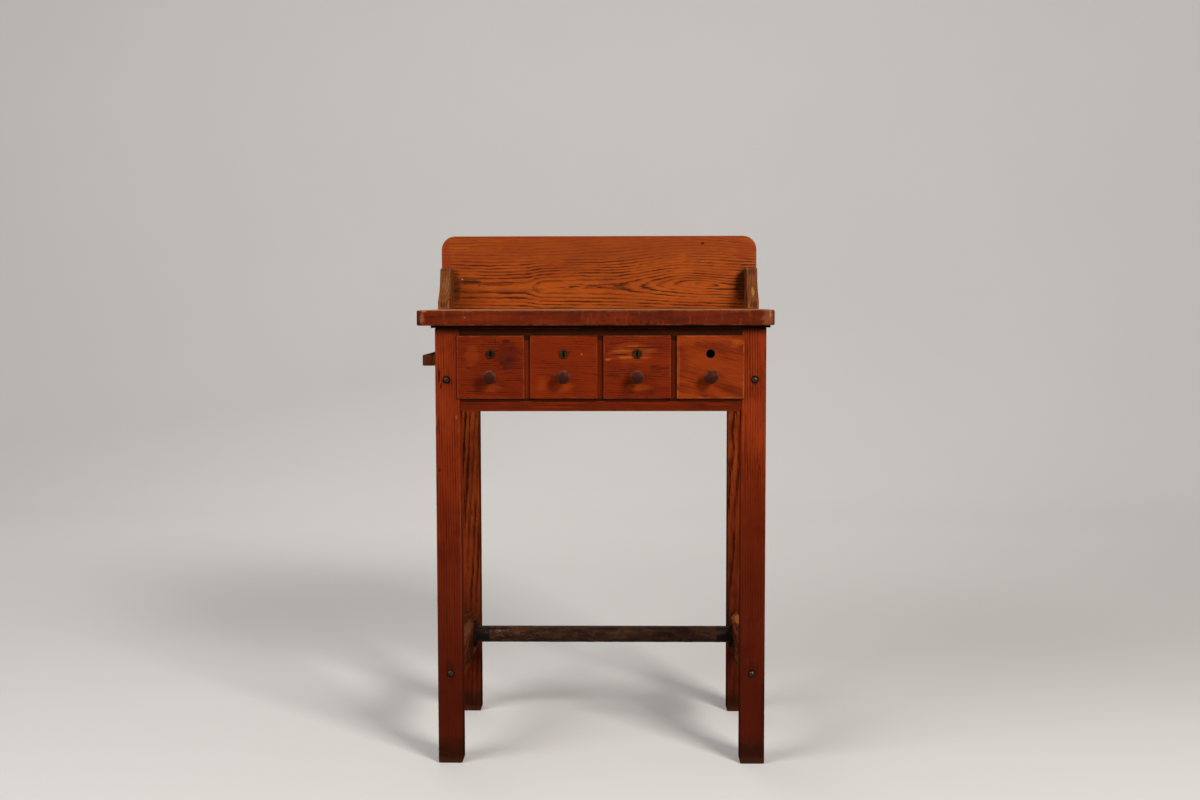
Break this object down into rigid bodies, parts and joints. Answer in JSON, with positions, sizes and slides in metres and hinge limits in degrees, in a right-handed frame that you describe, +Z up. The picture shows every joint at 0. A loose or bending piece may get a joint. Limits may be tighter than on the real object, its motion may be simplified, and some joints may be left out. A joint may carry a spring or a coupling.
{
  "type": "jewelers bench",
  "caption": "Narrow oak jeweler's bench on tall square legs, with a row of small locking drawers, a low backboard with coved wings, and an iron pipe foot rail.",
  "frame": {"origin": "on the floor, under the middle of the bench's overall box", "axes": "+Z up, -Y out of the drawer fronts towards the worker, +X to the worker's right"},
  "size_m": [0.656, 0.4395, 0.999],
  "materials": {
    "base_oak": "worn red-brown varnish on quarter-sawn oak, satin",
    "top_oak": "worn red-brown varnish, rubbed pale on the upper face",
    "backboard_oak": "amber varnish over bold cathedral grain, satin",
    "wing_oak": "worn varnish, rubbed to tan on the front edge",
    "drawer_oak": "orange-brown varnish, horizontal grain, satin",
    "drawer_4_oak": "lighter orange varnish, horizontal grain, satin",
    "inner_wood": "bare aged poplar, matt",
    "dark_board": "ebonised board, matt",
    "knob_wood": "dark stained turned hardwood, satin",
    "pipe_iron": "old brown-black paint worn to rust and bare iron",
    "screw_iron": "blackened steel, dull",
    "lock_brass": "tarnished brass, dull"
  },
  "bodies": {
    "root": {"back_apron": "base_oak", "backboard": "backboard_oak", "bench_top": "top_oak", "countersunk_screws": "screw_iron", "drawer_dividers": "base_oak", "drawer_guides": "inner_wood", "drawer_kickers": "inner_wood", "drawer_runners": "inner_wood", "flange_screws": "screw_iron", "foot_rail": "pipe_iron", "foot_rail_flanges": "pipe_iron", "frame_screws": "screw_iron", "leg_back_left": "base_oak", "leg_back_right": "base_oak", "leg_front_left": "base_oak", "leg_front_right": "base_oak", "lower_rail": "base_oak", "side_apron_left": "base_oak", "side_apron_right": "base_oak", "side_tool_rail": "base_oak", "stretcher_left": "base_oak", "stretcher_right": "base_oak", "sub_top": "dark_board", "tool_rail_screws": "screw_iron", "upper_rail": "base_oak", "wing_left": "wing_oak", "wing_right": "wing_oak"},
    "drawer_1": {"drawer_1_back": "inner_wood", "drawer_1_bottom": "inner_wood", "drawer_1_front": "drawer_oak", "drawer_1_knob": "knob_wood", "drawer_1_sides": "inner_wood", "lock_1_cylinder": "lock_brass", "lock_1_nut": "lock_brass"},
    "drawer_2": {"drawer_2_back": "inner_wood", "drawer_2_bottom": "inner_wood", "drawer_2_front": "drawer_oak", "drawer_2_knob": "knob_wood", "drawer_2_sides": "inner_wood", "lock_2_cylinder": "lock_brass", "lock_2_nut": "lock_brass"},
    "drawer_3": {"drawer_3_back": "inner_wood", "drawer_3_bottom": "inner_wood", "drawer_3_front": "drawer_oak", "drawer_3_knob": "knob_wood", "drawer_3_sides": "inner_wood", "lock_3_cylinder": "lock_brass", "lock_3_nut": "lock_brass"},
    "drawer_4": {"drawer_4_back": "inner_wood", "drawer_4_bottom": "inner_wood", "drawer_4_front": "drawer_4_oak", "drawer_4_knob": "knob_wood", "drawer_4_sides": "inner_wood"},
    "lock_1": {"lock_1_cam": "lock_brass", "lock_1_plug": "lock_brass"},
    "lock_2": {"lock_2_cam": "lock_brass", "lock_2_plug": "lock_brass"},
    "lock_3": {"lock_3_cam": "lock_brass", "lock_3_plug": "lock_brass"}
  },
  "joints": [
    {"name": "drawer_1_slide", "type": "slide", "parent": "root", "child": "drawer_1", "axis": [0, -1, 0], "range_m": [0, 0.25]},
    {"name": "drawer_2_slide", "type": "slide", "parent": "root", "child": "drawer_2", "axis": [0, -1, 0], "range_m": [0, 0.25]},
    {"name": "drawer_3_slide", "type": "slide", "parent": "root", "child": "drawer_3", "axis": [0, -1, 0], "range_m": [0, 0.25]},
    {"name": "drawer_4_slide", "type": "slide", "parent": "root", "child": "drawer_4", "axis": [0, -1, 0], "range_m": [0, 0.25]},
    {"name": "lock_1_turn", "type": "hinge", "parent": "drawer_1", "child": "lock_1", "pos_m": [-0.19335, -0.18975, 0.7677], "axis": [0, 1, 0], "range_deg": [0, 90]},
    {"name": "lock_2_turn", "type": "hinge", "parent": "drawer_2", "child": "lock_2", "pos_m": [-0.05845, -0.18975, 0.7677], "axis": [0, 1, 0], "range_deg": [0, 90]},
    {"name": "lock_3_turn", "type": "hinge", "parent": "drawer_3", "child": "lock_3", "pos_m": [0.07645, -0.18975, 0.7677], "axis": [0, 1, 0], "range_deg": [0, 90]}
  ]
}
